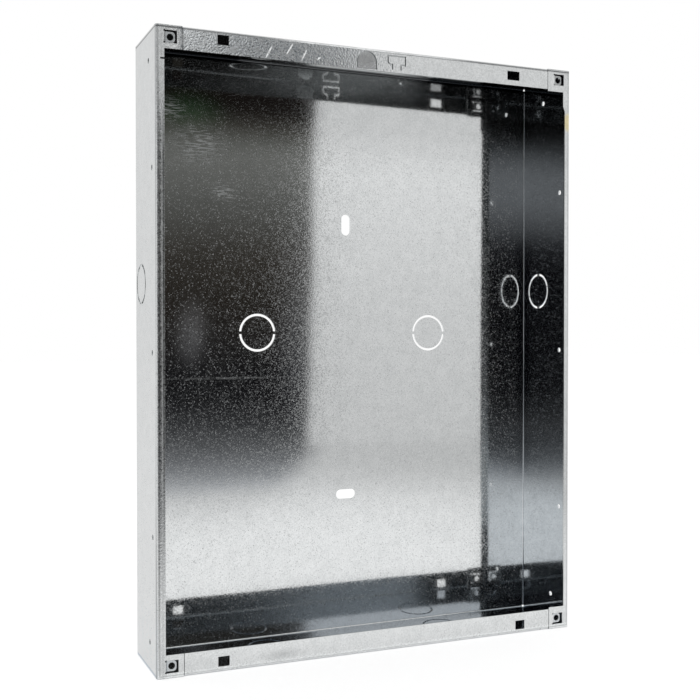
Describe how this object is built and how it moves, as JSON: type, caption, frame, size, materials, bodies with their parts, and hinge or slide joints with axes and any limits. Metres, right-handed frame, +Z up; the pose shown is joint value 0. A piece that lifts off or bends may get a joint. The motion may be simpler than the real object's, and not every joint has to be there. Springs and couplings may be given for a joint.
{
  "type": "flush back box",
  "caption": "Folded galvanised steel flush back box with an open front, inturned flanges, recessed corner screw tags and round conduit knock-outs in its walls.",
  "frame": {"origin": "middle of the underside of the bottom wall, half-way from front to back", "axes": "+Z up, -Y out of the open front, +X to the right as seen from the front"},
  "size_m": [0.24, 0.048, 0.32],
  "materials": {
    "galvanised_steel": "galvanised, smooth with a fine spangle"
  },
  "bodies": {
    "root": {"back_box": "galvanised_steel"}
  },
  "joints": []
}
